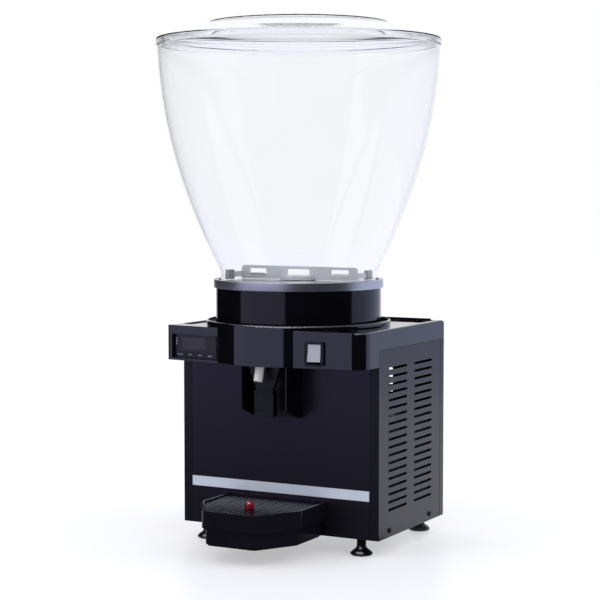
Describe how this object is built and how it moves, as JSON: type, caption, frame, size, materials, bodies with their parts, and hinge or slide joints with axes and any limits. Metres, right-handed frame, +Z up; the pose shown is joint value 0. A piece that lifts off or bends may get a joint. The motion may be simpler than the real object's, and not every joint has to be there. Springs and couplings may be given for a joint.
{
  "type": "cold drink dispenser",
  "caption": "Countertop cold drink dispenser: a tall clear bowl with a lid on a cooled pan, a magnetic mixing paddle, a push-lever tap, a drip tray with a float, and a black vented cabinet.",
  "frame": {"origin": "on the table, under the middle of the machine's bounding box, which is the bowl's axis", "axes": "+Z up, the front faces -Y, +X to the right as seen from the front"},
  "size_m": [0.3762, 0.3762, 0.6856],
  "materials": {
    "black_sheet": "satin powder coat, near black",
    "side_sheet": "satin powder coat, dark grey",
    "zinc_steel": "zinc plated",
    "dark_steel": "black oxide",
    "label": "satin foil, blank",
    "foot_rubber": "matte",
    "gloss_black": "polished black",
    "matte_black": "fine texture",
    "stainless": "drawn stainless steel",
    "copper": "drawn copper tube",
    "foam": "rigid foam",
    "seal": "food-grade silicone",
    "clear": "clear polycarbonate, polished",
    "magnet": "sintered",
    "aluminium": "die-cast and rolled",
    "tube_white": "food-grade silicone tube",
    "window": "smoked window",
    "key_black": "satin key tops",
    "rocker_grey": "polished rocker",
    "float_red": "translucent red",
    "shell_black": "semi-gloss enamel",
    "wire": "sheathed wire",
    "terminal": "moulded terminal block"
  },
  "bodies": {
    "machine": {"base_plate": "zinc_steel", "front_panel": "black_sheet", "side_panel_left": "side_sheet", "side_panel_right": "side_sheet", "rear_panel": "side_sheet", "cabinet_screws": "dark_steel", "label_strip": "label", "foot_nuts": "zinc_steel", "top_cover": "gloss_black", "collar": "gloss_black", "evaporator_pan": "stainless", "cooling_coil": "copper", "insulation": "foam", "bowl_seal": "seal", "mixer_motor": "aluminium", "motor_bracket": "zinc_steel", "tap_housing": "matte_black", "spout_tube": "tube_white", "lever_pin": "zinc_steel", "lever_spring": "zinc_steel", "controller": "matte_black", "display_window": "window", "power_switch": "gloss_black", "tray_holder": "matte_black", "compressor": "shell_black", "compressor_mount": "dark_steel", "grommets": "foot_rubber", "relay_box": "matte_black", "condenser_coil": "copper", "condenser_fins": "aluminium", "fan_shroud": "zinc_steel", "fan_motor": "aluminium", "filter_drier": "copper", "refrigerant_pipes": "copper", "terminal_block": "terminal", "mains_inlet": "matte_black", "wiring": "wire"},
    "bowl": {"bowl": "clear"},
    "lid": {"lid": "clear"},
    "paddle": {"mixing_paddle": "stainless", "wiper_blades": "foot_rubber", "paddle_magnets": "magnet"},
    "drive": {"drive_magnet": "magnet"},
    "lever": {"tap_lever": "matte_black"},
    "rocker": {"rocker": "rocker_grey"},
    "key_set": {"key_set": "key_black"},
    "key_down": {"key_down": "key_black"},
    "key_up": {"key_up": "key_black"},
    "key_light": {"key_light": "key_black"},
    "tray": {"drip_tray": "gloss_black"},
    "grille": {"drip_grille": "matte_black"},
    "float": {"level_float": "float_red"},
    "fan": {"fan_blades": "aluminium"},
    "foot_front_left": {"foot_front_left": "foot_rubber"},
    "foot_front_right": {"foot_front_right": "foot_rubber"},
    "foot_rear_left": {"foot_rear_left": "foot_rubber"},
    "foot_rear_right": {"foot_rear_right": "foot_rubber"}
  },
  "joints": [
    {"name": "bowl_lift", "type": "slide", "parent": "machine", "child": "bowl", "axis": [0, 0, 1], "range_m": [0, 0.12]},
    {"name": "lid_lift", "type": "slide", "parent": "bowl", "child": "lid", "axis": [0, 0, 1], "range_m": [0, 0.06]},
    {"name": "drive_turn", "type": "hinge", "parent": "machine", "child": "drive", "pos_m": [0, 0, 0.34], "axis": [0, 0, 1], "continuous": true},
    {"name": "paddle_turn", "type": "hinge", "parent": "machine", "child": "paddle", "pos_m": [0, 0, 0.351], "axis": [0, 0, 1], "continuous": true},
    {"name": "lever_push", "type": "hinge", "parent": "machine", "child": "lever", "pos_m": [0, -0.073, 0.2781], "axis": [1, 0, 0], "range_deg": [0, 12], "stiffness_Nm_per_rad": 0.8, "springref_deg": -22.92},
    {"name": "rocker_press", "type": "hinge", "parent": "machine", "child": "rocker", "pos_m": [0.08084, -0.10404, 0.2627], "axis": [0.9903, 0.1392, 0], "range_deg": [0, 18]},
    {"name": "key_set_press", "type": "slide", "parent": "machine", "child": "key_set", "axis": [0.1392, 0.9903, 0], "range_m": [0, 0.0005], "stiffness_N_per_m": 1000, "springref_m": -0.0005},
    {"name": "key_down_press", "type": "slide", "parent": "machine", "child": "key_down", "axis": [0.1392, 0.9903, 0], "range_m": [0, 0.0005], "stiffness_N_per_m": 1000, "springref_m": -0.0005},
    {"name": "key_up_press", "type": "slide", "parent": "machine", "child": "key_up", "axis": [0.1392, 0.9903, 0], "range_m": [0, 0.0005], "stiffness_N_per_m": 1000, "springref_m": -0.0005},
    {"name": "key_light_press", "type": "slide", "parent": "machine", "child": "key_light", "axis": [0.1392, 0.9903, 0], "range_m": [0, 0.0005], "stiffness_N_per_m": 1000, "springref_m": -0.0005},
    {"name": "tray_lift", "type": "slide", "parent": "machine", "child": "tray", "axis": [0, 0, 1], "range_m": [0, 0.05]},
    {"name": "grille_lift", "type": "slide", "parent": "tray", "child": "grille", "axis": [0, 0, 1], "range_m": [0, 0.025]},
    {"name": "float_rise", "type": "slide", "parent": "tray", "child": "float", "axis": [0, 0, 1], "range_m": [0, 0.008]},
    {"name": "fan_turn", "type": "hinge", "parent": "machine", "child": "fan", "pos_m": [0.1098, 0.041, 0.1095], "axis": [-1, 0, 0], "continuous": true},
    {"name": "front_left_height", "type": "slide", "parent": "machine", "child": "foot_front_left", "axis": [0, 0, -1], "range_m": [0, 0.005]},
    {"name": "front_right_height", "type": "slide", "parent": "machine", "child": "foot_front_right", "axis": [0, 0, -1], "range_m": [0, 0.005]},
    {"name": "rear_left_height", "type": "slide", "parent": "machine", "child": "foot_rear_left", "axis": [0, 0, -1], "range_m": [0, 0.005]},
    {"name": "rear_right_height", "type": "slide", "parent": "machine", "child": "foot_rear_right", "axis": [0, 0, -1], "range_m": [0, 0.005]}
  ],
  "couplings": [
    {"joint": "paddle_turn", "follows": "drive_turn", "ratio": 1}
  ]
}
